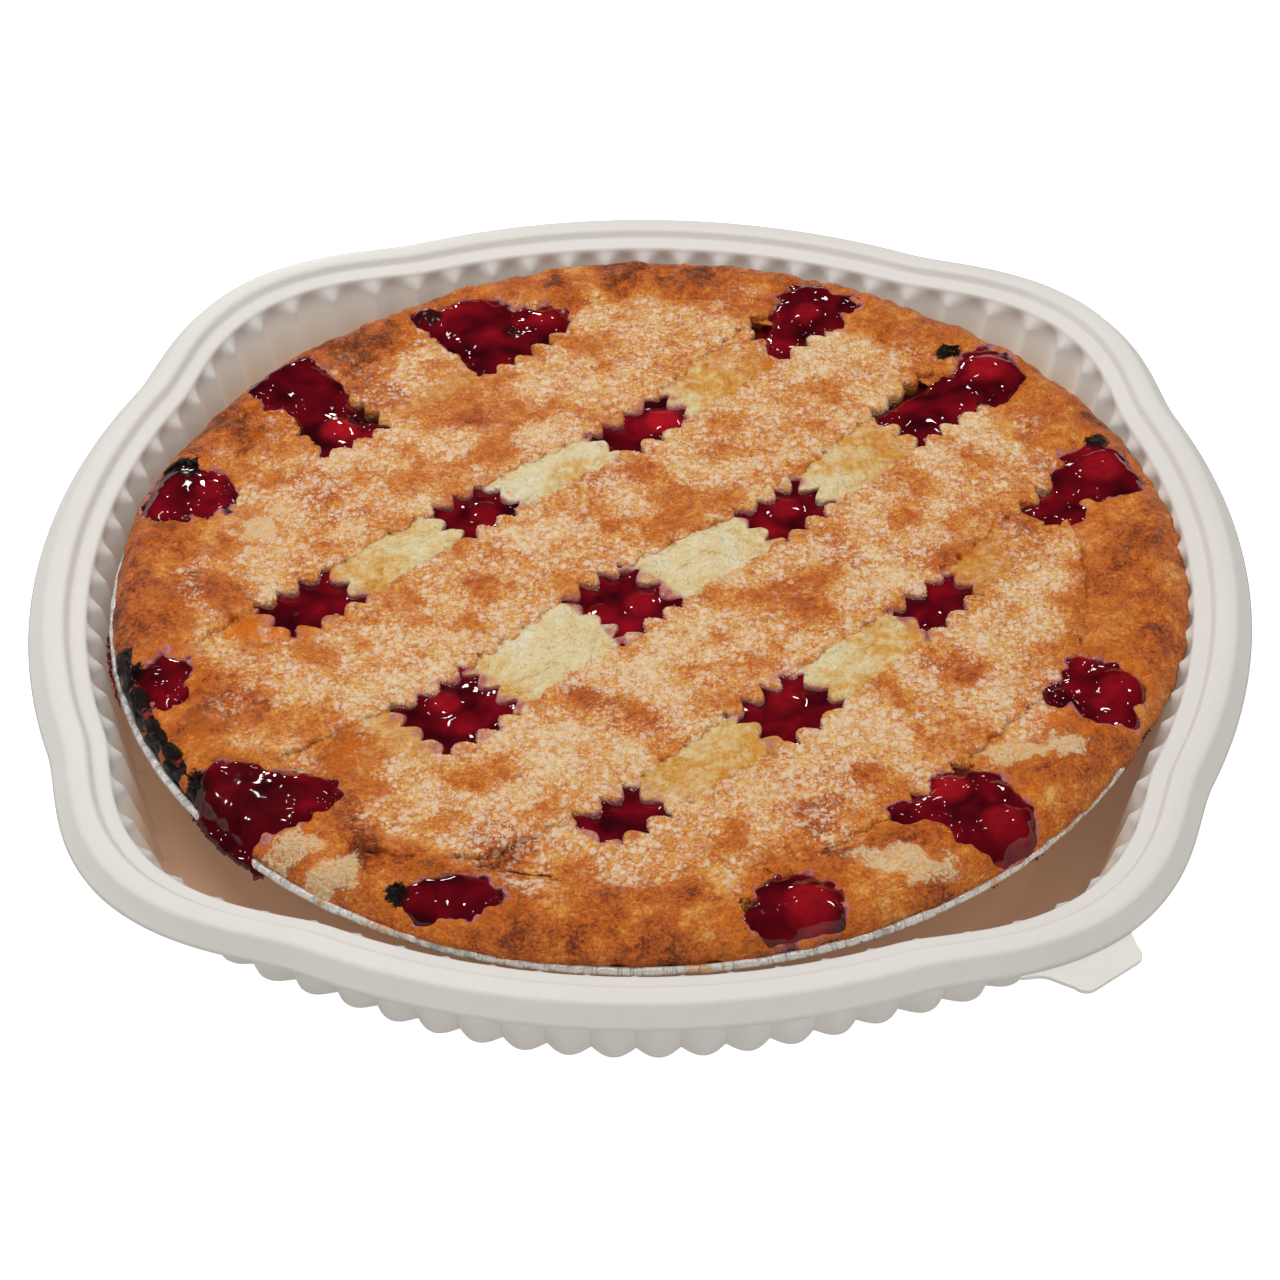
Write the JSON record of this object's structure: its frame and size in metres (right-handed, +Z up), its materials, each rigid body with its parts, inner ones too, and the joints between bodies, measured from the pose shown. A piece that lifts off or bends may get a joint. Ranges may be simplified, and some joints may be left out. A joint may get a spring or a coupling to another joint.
{
  "type": "lattice-topped cherry pie",
  "caption": "Baked lattice-topped cherry pie in a foil tin, standing in a fluted plastic tray that it is sold and served from.",
  "frame": {"origin": "middle of the tray's base, on the table that it stands on", "axes": "+Z up; +X and +Y point at the middles of two of the tray's four bowed sides, +Y away from the viewer; the tray's pull tab is at the corner between +X and -Y"},
  "size_m": [0.2894, 0.2894, 0.0374],
  "materials": {
    "cream_plastic": "thin moulded off-white plastic, satin to glossy",
    "foil": "crinkled rolled aluminium foil",
    "edge_crust": "baked pastry, golden brown to dark brown, rough, with small blisters",
    "pale_pastry": "pale baked pastry, cream to light yellow, slightly blistered",
    "sugared_pastry": "golden baked pastry under coarse sugar crystals",
    "cherry_gel": "deep red cherry filling in a wet glossy gel"
  },
  "bodies": {
    "root": {"tray": "cream_plastic", "foil_tin": "foil", "bottom_crust": "edge_crust", "cherry_filling": "cherry_gel", "lower_strip_1": "pale_pastry", "lower_strip_2": "pale_pastry", "lower_strip_3": "pale_pastry", "lower_strip_4": "pale_pastry", "upper_strip_1": "sugared_pastry", "upper_strip_2": "sugared_pastry", "upper_strip_3": "sugared_pastry", "upper_strip_4": "sugared_pastry"}
  },
  "joints": []
}
